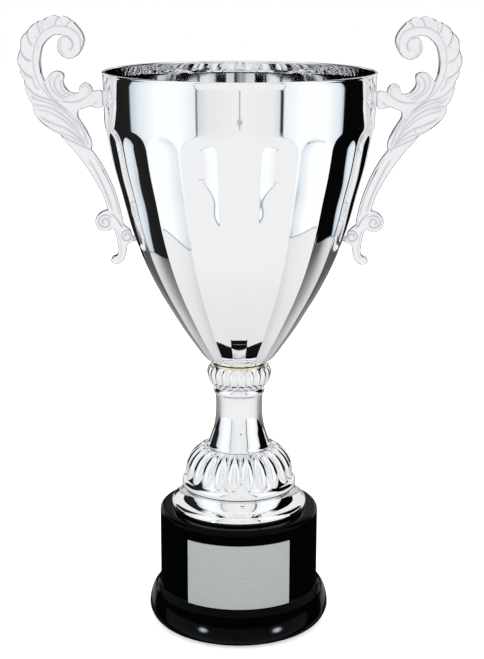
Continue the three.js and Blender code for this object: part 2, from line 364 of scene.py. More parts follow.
def bright_plate(name, tint, rough, ripple):
    """Mirror plating on thin sheet: faint polish swirls, a few hairlines and finger smears, and a
    very slow ripple in the sheet."""
    f = Finish(name)
    at = f.place()
    smear = f.between(f.noise(at, 38, 4, 0.6, 0.4), 0.45, 0.75, 0.0, 1.0)
    speck = f.between(f.noise(at, 900, 2), 0.62, 0.8, 0.0, 1.0)
    lines = f.scratches(at, 420, 0.012, (0.4, 0.2, 0.9)) * f.between(f.noise(at, 55), 0.5, 0.7, 0, 1)
    colour = f.blend(smear * 0.35, tint, tuple(c * 0.965 for c in tint))
    sway = f.noise(at, 26, 1.5, 0.4)
    fine = f.noise(at, 1500, 2)
    return f.shade(
        Base_Color=colour, Metallic=1.0, IOR=1.5,
        Roughness=rough + smear * 0.02 + speck * 0.015 + lines * 0.05,
        Normal=f.bump(sway * ripple + fine * 0.0000006 - lines * 0.0000012, 1.0, 1.0))


def cast_plate():
    """Plated casting: brighter on the flats, with painted shade that greys the colour in the hollows of
    the carving, and a touch grainy.
    """
    f = Finish("cast_plate")
    at = f.place()
    grain = f.noise(at, 700, 4, 0.6)
    cloud = f.between(f.noise(at, 60, 3), 0.4, 0.7, 0.0, 1.0)
    # painted shade: hollow, how deep the carved grooves lie, darkens the colour toward lavender grey in
    # them
    hollow = f.between(f.node("ShaderNodeAttribute", {"attribute_name": "hollow"}, output=2),
                       0.0, 1.0, 0.0, 1.0)
    colour = f.blend(hollow, (0.94, 0.94, 0.955), (0.52, 0.53, 0.60))
    colour = f.blend(cloud * 0.3, colour, (0.88, 0.88, 0.91))
    return f.shade(
        Base_Color=colour, Metallic=1.0, IOR=1.5,
        Roughness=0.10 + grain * 0.05 + cloud * 0.03 + hollow * 0.1,
        Normal=f.bump(grain * 0.000006 + f.noise(at, 160, 2) * 0.00002, 0.6, 1.0))


def black_gloss():
    """Black moulded plastic: deep gloss, orange-peel so slow it only bends reflections, dust."""
    f = Finish("black_gloss")
    at = f.place()
    peel = f.noise(at, 170, 1.5, 0.4)
    dust = f.between(f.noise(at, 2600, 2), 0.69, 0.76, 0.0, 1.0)
    dust = dust * f.between(f.noise(at, 90), 0.45, 0.65, 0.0, 1.0)
    lines = f.scratches(at, 300, 0.010, (1.1, 0.3, 0.2)) * f.between(f.noise(at, 40), 0.5, 0.7, 0, 1)
    colour = f.blend(dust * 0.5, (0.0005, 0.0007, 0.0008), (0.012, 0.014, 0.016))
    return f.shade(
        Base_Color=colour, Metallic=0.0, IOR=1.36, Specular_IOR_Level=0.08,
        Roughness=0.08 + dust * 0.25 + lines * 0.12 + f.noise(at, 60, 3) * 0.03,
        Normal=f.bump(peel * 0.00003 - lines * 0.000002, 1.0, 1.0))


def plate_metal():
    """Silver-grey sheet with fine brushing across it, round the plate."""
    f = Finish("plate_metal")
    at = f.node("ShaderNodeUVMap", {"uv_map": "run"})
    fine = f.node("ShaderNodeMapping", {"vector_type": "POINT"}, at, (0, 0, 0), (0, 0, 0),
                  (190, 2600, 1))
    wide = f.node("ShaderNodeMapping", {"vector_type": "POINT"}, at, (0, 0, 0), (0, 0, 0),
                  (75, 1300, 1))
    brush = f.noise(fine, 1.0, 4, 0.7)
    streak = f.noise(wide, 1.0, 3, 0.6)
    colour = f.blend(f.between(streak * 0.6 + brush * 0.4, 0.32, 0.68, 0.0, 1.0),
                     (0.355, 0.38, 0.38), (0.42, 0.445, 0.445))
    return f.shade(
        Base_Color=colour, Metallic=0.3, IOR=1.4, Specular_IOR_Level=0.3,
        Roughness=0.58 + brush * 0.12,
        Normal=f.bump(brush * 0.00001 + streak * 0.00001, 0.5, 1.0))


def plain_metal(name, tint, rough, grain_scale):
    """Zinc-plated or turned metal: patchy, finely grained."""
    f = Finish(name)
    at = f.place()
    grain = f.noise(at, grain_scale, 4, 0.6)
    cloud = f.between(f.noise(at, 150, 3), 0.4, 0.7, 0.0, 1.0)
    colour = f.blend(cloud, tint, tuple(c * 0.8 for c in tint))
    return f.shade(Base_Color=colour, Metallic=1.0, IOR=1.5,
                   Roughness=rough + grain * 0.12 + cloud * 0.06,
                   Normal=f.bump(grain * 0.00001, 0.6, 1.0))


def rough_stuff(name, first, second, scale, depth, rough, metal=0.0):
    """A dull grained or fibrous stuff: cast iron, hardboard, felt or foam tape."""
    f = Finish(name)
    at = f.place()
    grain = f.noise(at, scale, 6, 0.65)
    cloud = f.noise(at, scale * 0.12, 3)
    colour = f.blend(f.between(grain * 0.7 + cloud * 0.3, 0.35, 0.65, 0.0, 1.0), first, second)
    return f.shade(Base_Color=colour, Metallic=metal, IOR=1.45,
                   Roughness=rough - grain * 0.08,
                   Normal=f.bump(grain * depth, 0.8, 1.0))


# ---- the turned pieces ----
def bowl_rows():
    """The bowl's outside as rows of (radius, height): close together round the flutes' arches."""
    fine = curve(BOWL, 600)
    z = np.concatenate([np.linspace(146.3, 262, 66), np.linspace(262.35, 276, 40),
                        np.linspace(277.5, 298.9, 9)])
    return np.stack([np.interp(z, fine[:, 1], fine[:, 0]), z], 1)


def flute_depth(across, radius, height):
    """How deep a flute is: 1 - u^2 - t^2, kept above nothing with a small round, times a depth
    that grows with the bowl's radius and grows faster near the foot. u runs across the flute and
    t up its arched end. The land between two flutes widens toward the top."""
    end = np.clip((height - FLUTE_SPRING) / (FLUTE_TOP - FLUTE_SPRING), 0, None)
    land = 1 + 0.07 * np.clip((height[:, None] - 205) / 60, 0, 1)
    hollow = 1 - (across[None, :] * land) ** 2 - end[:, None] ** 2
    hollow = 0.5 * (hollow + np.sqrt(hollow**2 + 0.003))
    fade = 0.5 + 0.5 * np.cos(np.pi * np.clip((end[:, None] - 0.95) / 1.3, 0, 1))
    shallow = np.clip((radius - 10) / 22, 0.3, 1) * radius / 70
    return FLUTE_DEPTH * hollow * fade * shallow[:, None]


def make_bowl(material):
    """The bowl: its profile turned round Z and pushed in by the flutes' depth, a half-round lip,
    and an inside wall one sheet's thickness further in, with a share of the same flutes."""
    outside = bowl_rows()
    foot = np.array([(ROD_HOLE, BOWL_FOOT), (8.5, BOWL_FOOT), (13.3, BOWL_FOOT)])
    lip = arc((69.95, 299.85), 0.75, -45, 205, 11)
    inside = pull(outside, SHEET)[::-2]
    floor = np.array([(12.6, 146.9), (8, 146.9), (ROD_HOLE, 146.9)])
    profile = join(foot, outside, lip, inside, floor)
    angle, across = columns_for(FLUTES, 20, 0.0)
    push = np.zeros((len(profile), len(angle)))
    first = len(foot)
    push[first:first + len(outside)] = -flute_depth(across, *outside.T)
    start = first + len(outside) + len(lip)
    push[start:start + len(inside)] = INSIDE_SHARE * flute_depth(across, *outside[::-2].T)
    return turned("cup_bowl", profile, material, push=push, angles=angle)


def petals(across, along, height, flat):
    """Raised lobes with pointed ends: height times (1 - u^2 - |v|^flat) to the power 0.53, with u
    across one lobe and v along it, both from -1 to 1."""
    left = 1 - across[None, :] ** 2 - np.abs(along[:, None]) ** flat
    return height * np.clip(left, 0, None) ** 0.53


def make_dome(material):
    """The dome: a rolled lip and a round-shouldered profile turned round Z, with a row of pointed
    lobes standing out along the profile's normal, and hollow below."""
    lip = curve([(28.9, DOME_FOOT), (30.3, 76.2), (31.0, 77.2), (31.1, 78.5), (31.0, 79.6),
                 (30.5, 80.5), (29.9, 81.1), (29.5, 81.3)], 18)
    body = curve(DOME, 76)
    inside = np.array([(ROD_HOLE, 98.6), (ROD_HOLE, 97.2), (16, 96.0), (22.0, 91.5), (24.2, 86.5),
                       (25.2, 80), (25.4, DOME_FOOT)])
    top = np.array([(16.6, 98.7), (12, 98.7)])
    profile = join(lip, body, top, inside)
    angle, across = columns_for(LOBES, 20, DOME_TURN)
    push = np.zeros((len(profile), len(angle)))
    rows = slice(len(lip), len(lip) + len(body))
    push[rows] = petals(across, np.linspace(-1.02, 1.04, len(body)), 2.6, 2.2)
    return turned("petal_dome", profile, material, push=push, angles=angle)


def make_collar(material):
    """The knop: a bulging profile turned round Z, with a row of blunter lobes."""
    body = curve(COLLAR, 60)
    profile = join([(9, COLLAR_FOOT), (11.8, COLLAR_FOOT)], body, [(14.5, 145.1), (9, 145.1)])
    angle, across = columns_for(LOBES, 18, COLLAR_TURN)
    push = np.zeros((len(profile), len(angle)))
    push[2:2 + len(body)] = petals(across, np.linspace(-1.02, 1.02, len(body)), 1.35, 3.0)
    return turned("petal_collar", profile, material, push=push, angles=angle)


def make_stem(material):
    """The stem: a small foot ring, a flared waist and a round ring moulding, turned round Z."""
    foot = curve([(14.2, 98.78), (16.7, 98.8), (17.2, 99.2), (17.2, 100.0), (16.9, 100.6),
                  (16.6, 101.0)], 16)
    ring = curve([(12.8, 128.7), (13.3, 129.0), (13.7, 129.9), (13.75, 130.7), (13.6, 131.6),
                  (13.1, 132.4), (12.2, 132.75)], 18)
    inside = np.array([(9.0, 132.75), (9.0, 131.4), (10.4, 127), (10.4, 118), (11.4, 110),
                       (13.2, 103), (14.0, 99.2)])
    profile = join(foot, curve(STEM, 60), ring, inside)
    return turned("waisted_stem", profile, material, columns=128)


def make_flange(material):
    """The flange: a rolled edge and a cove that rises to the dome, turned round Z."""
    band = curve([(35.9, FLANGE_FOOT), (36.5, 65.3), (36.8, 66.0), (36.85, 66.9), (36.7, 67.9),
                  (36.4, 68.7), (35.8, 69.4)], 30)
    cove = curve([(35.8, 69.4), (34.3, 70.1), (32.6, 71.2), (31.4, 72.8), (30.7, 74.6),
                  (30.4, 75.85)], 30)
    profile = join(band, cove, [(26, 75.85), (26, 67.5), (27.5, FLANGE_FOOT), (33, FLANGE_FOOT)])
    return turned("coved_flange", profile, material, columns=192)


def make_seat_ring(material):
    """The thin ring between collar and bowl: a flat washer with a half-round edge."""
    profile = join([(9, 145.2), (14.4, 145.2)], arc((14.6, 145.58), 0.36, -80, 80, 9),
                   [(14.4, 145.96), (9, 145.96)])
    return turned("gold_ring", profile, material, columns=128)


def make_base(material):
    """The hollow base: a flared skirt, a straight drum and a quarter-round shoulder, turned round
    Z, with a thin wall and a hole for the rod."""
    skirt = curve(SKIRT, 70)
    drum = np.array([(BASE_RADIUS, z) for z in np.linspace(22.6, 61.4, 14)])
    shoulder = arc((BASE_RADIUS - 2.6, 62.2), 2.6, 0, 90, 12)
    top = np.array([(r, BASE_TOP) for r in np.linspace(39.5, ROD_HOLE, 9)])
    inside = np.array([(ROD_HOLE, 62), (20, 62), (40.0, 62), (40.5, 61.5), (40.5, 5.2), (41.2, 5.0),
                       (41.2, 0.6)])
    lip = arc((43.0, 1.4), 0.9, 250, 300, 4)
    profile = join(lip, skirt[2:], drum, shoulder, top, inside)
    return turned("round_base", profile, material, columns=192)


def make_plate(name, inner, outer, low, high, half_angle, edge, material):
    """A thin curved panel: a box section with cut corners carried round Z between two angles, as
    in turned(), and closed at both ends. The map called run holds the distance round and up the
    panel, in metres."""
    section = np.array([(inner, low), (outer - edge, low), (outer, low + edge),
                        *[(outer, z) for z in np.linspace(low + 1, high - 1, 12)],
                        (outer, high - edge), (outer - edge, high), (inner, high)])
    angle = np.linspace(-half_angle, half_angle, 72)
    r, z = section[:, 0, None], section[:, 1, None]
    points = np.stack([r * np.sin(angle), -r * np.cos(angle), z + 0 * angle], -1).reshape(-1, 3)
    rows, columns = len(section), len(angle)
    start = np.arange(rows) * columns
    ends = [start.tolist(), (start + columns - 1)[::-1].tolist()]
    faces = grid_faces(rows, columns, True, False).tolist() + ends
    made = mesh_object(name, points * MM, faces, material)
    mesh = made.data
    run = mesh.uv_layers.new(name="run")
    which = np.zeros(len(mesh.loops), int)
    mesh.loops.foreach_get("vertex_index", which)
    run_of = np.stack([np.tile(angle, rows) * outer * MM, np.repeat(section[:, 1], columns) * MM], 1)
    run.data.foreach_set("uv", run_of[which].ravel())
    return made


# ---- the handles ----
def handle_outline():
    """The handle's whole edge as one closed run of points, from the pad at the bowl over the top."""
    wall = np.array([(-70.35, 282.6), (-70.3, 289.9)])
    foot_wall = np.array([(-55.9, 211.6), (-56.1, 214.0), (-57.3, 217.4)])
    runs = [curve(PAD_TOP, 10), curve(BALL, 14), curve(HANDLE_TOP, 34), curve(HOOK, 36),
            curve(CURL, 46)]
    runs += [curve(run, 6 * len(run)) for run in LEAF_EDGE]
    runs += [curve(HANDLE_FOOT, 30), curve(TAIL, 54), foot_wall,
             curve([(-57.3, 217.4), (-58.8, 218.8), (-61.0, 220.4)], 8), curve(HANDLE_INNER, 30),
             curve(LEAF_INNER, 44), wall[:1]]
    return join(*runs)


def nearest(grid, line, closed):
    """For each grid point: the distance to a line, the nearest point, the side (1 on the left of
    the way it runs, -1 on the right) and how far along it that is, from 0 to 1."""
    a = line
    b = np.roll(line, -1, 0) if closed else line[1:]
    a = a if closed else line[:-1]
    best = np.full(len(grid), 1e9)
    point = np.zeros_like(grid)
    side = np.ones(len(grid))
    along = np.zeros(len(grid))
    for index, (p, q) in enumerate(zip(a, b)):
        d = q - p
        t = np.clip(((grid - p) @ d) / max(d @ d, 1e-12), 0, 1)
        foot = p + t[:, None] * d
        gap = np.hypot(*(grid - foot).T)
        closer = gap < best
        best[closer] = gap[closer]
        point[closer] = foot[closer]
        turn = d[0] * (grid[:, 1] - p[1]) - d[1] * (grid[:, 0] - p[0])
        side[closer] = np.sign(turn[closer] + 1e-12)
        along[closer] = (index + t[closer]) / len(a)
    return best, point, side, along


def within(grid, outline):
    """Whether each grid point lies inside a closed outline: an odd number of crossings."""
    inside = np.zeros(len(grid), bool)
    x, z = grid.T
    for (x0, z0), (x1, z1) in zip(outline, np.roll(outline, -1, 0)):
        if z0 != z1:
            cut = ((z0 > z) != (z1 > z)) & (x < (x1 - x0) * (z - z0) / (z1 - z0) + x0)
            inside ^= cut
    return inside


# Carved lines as (points, groove depth, groove width, step, fade): a step above 0 raises the
# left of the line, and dies away over the fade. All in millimetres.
CARVING = [
    # the edge of the plain band that runs round the hook and down into the leaf
    ([(-81.0, 312.6), (-80.9, 315.6), (-82.2, 318.8), (-84.4, 320.9), (-87.1, 322.2), (-90.7, 322.8),
      (-94.4, 322.8), (-97.1, 321.8), (-99.8, 320.0), (-102.1, 317.4), (-103.9, 313.8),
      (-105.0, 309.7), (-105.3, 304.7), (-104.7, 299.8), (-103.2, 295.3), (-100.9, 291.4),
      (-98.3, 288.2), (-95.2, 285.3), (-91.2, 282.4), (-86.8, 279.0), (-84.4, 276.4)],
     0.32, 0.42, 0.34, 2.2),
    # the band's own inner line
    ([(-102.1, 303.6), (-101.5, 299.6), (-100.5, 295.8), (-99.2, 292.0), (-97.4, 288.9),
      (-95.2, 286.3), (-92.2, 284.6)], 0.30, 0.40, -0.10, 1.0),
    # lobes of the outer leaf, from the top of the head round and down
    ([(-85.6, 325.6), (-87.0, 324.4), (-88.3, 322.7)], 0.38, 0.50, 0.28, 1.6),
    ([(-91.9, 327.2), (-93.0, 325.7), (-94.0, 323.0)], 0.40, 0.50, 0.28, 1.8),
    ([(-98.9, 326.6), (-100.0, 325.0), (-100.4, 322.0), (-100.0, 320.5)], 0.26, 0.40, 0.18, 1.2),
    ([(-102.8, 325.0), (-102.4, 322.6), (-101.2, 319.6)], 0.36, 0.50, 0.26, 1.8),
    ([(-108.2, 320.1), (-107.7, 317.6), (-107.0, 315.2), (-105.6, 313.2)], 0.42, 0.50, 0.30, 1.9),
    ([(-111.9, 311.0), (-110.4, 308.2), (-108.6, 306.3), (-106.6, 305.3)], 0.42, 0.50, 0.30, 1.9),
    ([(-112.6, 302.8), (-110.8, 300.6), (-108.6, 298.4), (-105.7, 296.8)], 0.40, 0.50, 0.28, 1.7),
    ([(-105.9, 296.6), (-105.4, 294.3), (-104.2, 292.2), (-103.0, 291.0)], 0.26, 0.40, 0.12, 1.0),
    ([(-110.5, 295.5), (-108.6, 292.3), (-105.6, 289.2), (-102.0, 287.0), (-98.0, 285.9),
      (-93.4, 283.6), (-88.6, 280.0)], 0.36, 0.46, 0.22, 1.4),
    # veins of the big leaf, which sweep down to its tip
    ([(-107.2, 288.0), (-104.4, 286.0), (-99.6, 284.6), (-94.4, 282.6), (-89.4, 279.4),
      (-85.4, 275.2), (-82.4, 270.4)], 0.30, 0.42, 0.16, 1.2),
    ([(-106.6, 283.3), (-103.4, 282.9), (-99.6, 282.3), (-94.6, 280.4), (-89.6, 276.9),
      (-85.0, 272.2), (-81.4, 266.8), (-79.2, 262.6)], 0.34, 0.44, 0.20, 1.3),
    ([(-105.4, 281.4), (-101.6, 280.4), (-96.6, 278.8), (-91.0, 275.8), (-86.0, 271.6),
      (-82.0, 267.0), (-79.0, 262.4)], 0.26, 0.40, 0.12, 1.1),
    ([(-102.4, 277.2), (-99.4, 275.1), (-94.8, 273.1), (-89.2, 270.9), (-84.2, 267.4),
      (-79.6, 262.8)], 0.38, 0.46, 0.22, 1.3),
    ([(-104.0, 276.2), (-99.2, 272.0), (-94.2, 269.5), (-88.4, 267.6), (-82.6, 264.6),
      (-78.2, 261.2)], 0.30, 0.42, 0.14, 1.0),
    ([(-85.6, 277.2), (-83.0, 274.2), (-80.8, 270.2), (-79.3, 266.0), (-78.4, 262.6)],
     0.32, 0.42, 0.10, 0.9),
    # the leaf's lower edge, standing over the arm
    ([(-92.8, 267.7), (-88.6, 265.4), (-84.2, 263.4), (-80.0, 261.5), (-76.9, 260.0)],
     0.36, 0.45, 0.44, 1.8),
    # the small leaf that curls up from the pad
    ([(-92.2, 298.9), (-94.4, 295.8), (-94.4, 292.2), (-91.8, 288.7), (-87.6, 286.6)],
     0.34, 0.45, 0.16, 1.0),
    ([(-96.4, 298.4), (-97.3, 295.4), (-96.2, 291.6), (-93.2, 288.2), (-89.4, 286.0)],
     0.30, 0.42, 0.14, 1.0),
    ([(-90.5, 296.6), (-91.8, 293.8), (-90.6, 290.6), (-87.4, 288.4), (-85.2, 288.0)],
     0.30, 0.42, 0.14, 0.9),
    ([(-91.2, 285.0), (-87.0, 284.6), (-83.0, 285.2), (-80.0, 286.5), (-77.2, 288.4),
      (-75.6, 289.8)], 0.36, 0.44, -0.26, 1.6),
    ([(-76.9, 282.4), (-75.2, 283.3), (-73.2, 285.0)], 0.22, 0.60, 0.20, 1.4),
    # the ball's and the head's curls
    ([(-82.6, 290.4), (-81.2, 292.4), (-79.2, 293.1), (-77.3, 292.0), (-77.2, 290.3),
      (-78.6, 289.4)], 0.26, 0.38, -0.12, 0.8),
    ([(-89.9, 318.0), (-88.0, 317.7), (-86.3, 316.8), (-85.2, 315.2), (-85.0, 313.2),
      (-85.7, 311.6), (-86.8, 311.3)], 0.42, 0.50, 0.30, 1.8),
    ([(-91.4, 315.4), (-91.8, 312.8), (-91.0, 310.2), (-89.0, 308.3)], 0.20, 0.36, -0.10, 0.8),
    # the arm: a crease that leaves a slope toward the bowl
    ([(-77.9, 254.9), (-75.3, 250.3), (-72.8, 245.3), (-70.2, 239.5), (-68.1, 233.8),
      (-66.4, 228.2)], 0.34, 0.42, -0.34, 2.4),
    ([(-75.0, 256.2), (-71.4, 250.4), (-68.4, 244.4), (-65.9, 238.0), (-64.1, 232.0),
      (-62.7, 226.0)], 0.20, 0.40, -0.16, 1.2),
    ([(-67.2, 227.0), (-64.8, 224.8), (-63.0, 222.3), (-61.6, 219.9)], 0.34, 0.42, -0.22, 1.3),
    # the foot's inner line beside the tail
    ([(-64.4, 218.6), (-63.2, 215.0), (-62.6, 211.0), (-62.2, 206.6), (-63.4, 203.0)],
     0.16, 0.40, -0.08, 1.0),
]
# Rolled scrolls of the foot: centre, outer radius, turns.
SCROLLS = [((-70.3, 222.3), 4.0, 1.6), ((-58.9, 214.8), 3.4, 1.5)]


def spiral(centre, radius, turns):
    """A scroll's line: the radius shrinks evenly to a small eye as the angle grows."""
    t = np.linspace(0, 1, 40)
    a = math.radians(35) + t * turns * TAU
    r = radius + (1.0 - radius) * t
    return np.stack([centre[0] + r * np.cos(a), centre[1] + r * np.sin(a)], 1)


def relief(grid, edge):
    """The half thickness of the handle: a wall at the edge, rounded onto the flats over 1.1 mm,
    with each carved line taken out as a groove and a step that fades. Also how hollow it is: how
    deep the grooves lie, which the handle's material paints as shade."""
    rise = np.sqrt(1 - (1 - np.clip(edge / 1.1, 0, 1)) ** 2)
    height = 2.35 + 0.95 * rise
    hollow = np.zeros(len(grid))
    lines = [(curve(points, 8 * len(points)), *rest) for points, *rest in CARVING]
    lines += [(spiral(*scroll), 0.42, 0.42, 0.10, 0.8) for scroll in SCROLLS]
    for line, depth, width, step, fade in lines:
        low, high = line.min(0) - 5, line.max(0) + 5
        near = np.all((grid > low) & (grid < high), 1)
        gap, _, side, along = nearest(grid[near], line, False)
        ends = np.clip(np.minimum(along, 1 - along) * 8 + 0.35, 0, 1)
        groove = np.exp(-((gap / width) ** 2)) * ends
        lift = step * side * (1 - np.exp(-((gap / width) ** 2))) * np.exp(-gap / fade) * ends
        height[near] += lift - depth * groove
        # how deep each groove lies, kept for the painted shade that the handle's material puts in the
        # grooves
        hollow[near] = np.maximum(hollow[near], groove * depth / 0.42)
    for centre, _, _ in SCROLLS:
        gap = np.hypot(*(grid - centre).T)
        height += 0.45 * np.exp(-((gap / 0.9) ** 4))
    return np.clip(height, 1.2, HANDLE_HALF_THICKNESS), np.clip(hollow, 0, 1)


def make_handle(name, side, material):
    """A handle as a field of heights on a square grid in the X-Z plane, kept inside the outline,
    with its border points drawn onto the outline, once for the front and once for the back, and a
    wall between the two borders. The borders are sharp edges."""
    step = 0.3
    at_border = 0.45 * step
    outline = handle_outline()
    low, high = outline.min(0) - 1, outline.max(0) + 1
    xs, zs = np.arange(low[0], high[0], step), np.arange(low[1], high[1], step)
    grid = np.stack(np.meshgrid(xs, zs), -1).reshape(-1, 2)
    edge, on_edge, _, _ = nearest(grid, outline, True)
    inside = within(grid, outline)
    keep = inside | (edge < at_border)
    quads = grid_faces(len(zs), len(xs), False, False)
    quads = quads[keep[quads].all(1)]
    border_pull = ~inside | (edge < at_border)
    place = np.where(border_pull[:, None], on_edge, grid)
    used, quads = np.unique(quads, return_inverse=True)
    quads = quads.reshape(-1, 4)
    place, edge = place[used], np.where(border_pull, 0, edge)[used]
    sides = np.stack([quads, np.roll(quads, -1, 1)], -1).reshape(-1, 2)
    keys = np.sort(sides, 1)
    _, first, counts = np.unique(keys, axis=0, return_index=True, return_counts=True)
    rim = sides[first[counts == 1]]
    on_rim = np.unique(rim)
    _, place[on_rim], _, _ = nearest(place[on_rim], outline, True)
    edge[on_rim] = 0
    half, hollow = relief(place, edge)
    count = len(place)
    front = np.stack([place[:, 0], -half, place[:, 1]], 1)
    back = np.stack([place[:, 0], half, place[:, 1]], 1)
    wall = np.stack([rim[:, 1], rim[:, 0], rim[:, 0] + count, rim[:, 1] + count], 1)
    faces = np.vstack([quads, quads[:, ::-1] + count, wall])
    points = np.vstack([front, back])
    if side > 0:
        points = points * (-1, 1, 1)
        faces = faces[:, ::-1]
    made = new_object(name, points, faces, material)
    # hollow holds the grooves' depth, from which the handle's material paints shade into the grooves
    shades = made.data.attributes.new("hollow", "FLOAT", "POINT")
    shades.data.foreach_set("value", np.concatenate([hollow, hollow]).astype(np.float32))
    sharp = made.data.attributes.new("sharp_edge", "BOOLEAN", "EDGE")
    ends = np.zeros(len(made.data.edges) * 2, int)
    made.data.edges.foreach_get("vertices", ends)
    both_rims = np.sort(np.vstack([rim, rim + count]), 1)
    key = np.array([2 * count, 1])
    is_rim = np.isin(np.sort(ends.reshape(-1, 2), 1) @ key, both_rims @ key)
    sharp.data.foreach_set("value", is_rim)
    return made


# ---- the frame and the pieces ----
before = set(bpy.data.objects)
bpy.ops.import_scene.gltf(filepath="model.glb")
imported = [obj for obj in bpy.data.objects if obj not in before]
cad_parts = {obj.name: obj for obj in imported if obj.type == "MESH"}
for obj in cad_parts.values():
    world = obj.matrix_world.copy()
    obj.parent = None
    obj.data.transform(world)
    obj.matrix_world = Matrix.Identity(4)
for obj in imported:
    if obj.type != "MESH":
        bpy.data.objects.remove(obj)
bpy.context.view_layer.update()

plated = bright_plate("bright_plate", (0.93, 0.935, 0.945), 0.025, 0.00004)
gold = bright_plate("gold_plate", (0.90, 0.83, 0.60), 0.10, 0.00002)
black = black_gloss()
cast = cast_plate()
silver_sheet = plate_metal()

stands_for(make_bowl(plated), "bright_plate", "bowl")
stands_for(make_dome(plated), "bright_plate", "dome")
stands_for(make_collar(plated), "bright_plate", "collar")
stands_for(make_stem(plated), "bright_plate", "stem")
stands_for(make_flange(plated), "bright_plate", "flange")
stands_for(make_seat_ring(gold), "gold_ring", "seat_ring")
stands_for(make_base(black), "black_gloss", "base_shell")
stands_for(make_plate("curved_name_plate", 43.9, 44.5, 21.4, 57.2, PLATE_HALF_ANGLE, 0.12,
                      silver_sheet), "plate_metal", "name_plate")
stands_for(make_handle("cast_handle_left", -1, cast), "cast_plate", "handle_left")
stands_for(make_handle("cast_handle_right", 1, cast), "cast_plate", "handle_right")

zinc = plain_metal("zinc_steel", (0.72, 0.73, 0.76), 0.22, 1400)
KEPT = {
    "adhesive": rough_stuff("foam_tape", (0.10, 0.11, 0.12), (0.16, 0.17, 0.18), 3000, 0.00004, 0.9),
    "iron": rough_stuff("cast_iron", (0.035, 0.035, 0.037), (0.075, 0.07, 0.068), 900, 0.0001, 0.6,
                        0.6),
    "board": rough_stuff("hardboard", (0.11, 0.065, 0.035), (0.20, 0.13, 0.075), 1600, 0.00005, 0.8),
    "felt": rough_stuff("green_felt", (0.012, 0.055, 0.03), (0.03, 0.10, 0.055), 2600, 0.00015, 0.97),
}
NODE_FINISH = {"plate_adhesive": "adhesive", "base_weight": "iron", "bottom_board": "board",
               "felt_pad": "felt"}
for node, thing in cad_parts.items():
    finish = KEPT[NODE_FINISH[node]] if node in NODE_FINISH else zinc
    for slot in thing.material_slots:
        slot.material = finish


# ---- the studio ----
def disc_floor(radius, rings=6, columns=48):
    """A flat round floor: rings of points round the middle, just under the object."""
    r = np.linspace(0.02, radius, rings)[:, None]
    a = np.linspace(0, TAU, columns, endpoint=False)
    points = np.stack([r * np.cos(a), r * np.sin(a), 0 * r * a], -1).reshape(-1, 3)
    faces = grid_faces(rings, columns, False, True).tolist() + [list(range(columns))]
    f = Finish("floor_paper")
    speck = f.noise(f.place(), 60, 3)
    paper = f.shade(Base_Color=f.blend(speck, (0.93, 0.93, 0.93), (0.95, 0.95, 0.95)),
                    Roughness=0.9, Emission_Color=(1, 1, 1), Emission_Strength=0.5)
    floor = mesh_object("floor", points, faces, paper)
    floor.visible_glossy = False
    floor.location.z = -0.0002


class Room(Finish):
    """The studio's own paints: emission only, seen by nothing but mirror reflections."""

    def band(self, value, stops, low, high):
        """A colour ramp over a range; stops are (value, shade)."""
        scaled = [((v - low) / (high - low), c if isinstance(c, tuple) else (c, c, c))
                  for v, c in stops]
        return self.node("ShaderNodeValToRGB", {"stops": scaled},
                         self.between(value, low, high, 0, 1))

    def step(self, value, low, high):
        """0 up to low and 1 past high. With low above high it runs the other way."""
        return self.between(value, low, high, 0.0, 1.0)

    def root(self, value):
        return self.node("ShaderNodeMath", {"operation": "SQRT"}, value)

    def split(self, vector):
        """A vector's three parts."""
        made = self.nodes.new("ShaderNodeSeparateXYZ")
        self.links.new(vector.output, made.inputs[0])
        return [Socket(self, made.outputs[i]) for i in range(3)]

    def azimuth(self, x, y):
        """Degrees round from -Y, to the right above 0."""
        return self.node("ShaderNodeMath", {"operation": "ARCTAN2"}, x, y * -1.0) * (180 / math.pi)

    def glow(self, shade):
        """Ends the material in plain emission, which isn't sampled as a lamp."""
        glow = self.node("ShaderNodeEmission", None, shade, 1.0)
        self.links.new(glow.output, self.end.inputs[0])
        self.material.cycles.emission_sampling = "NONE"
        return self.material


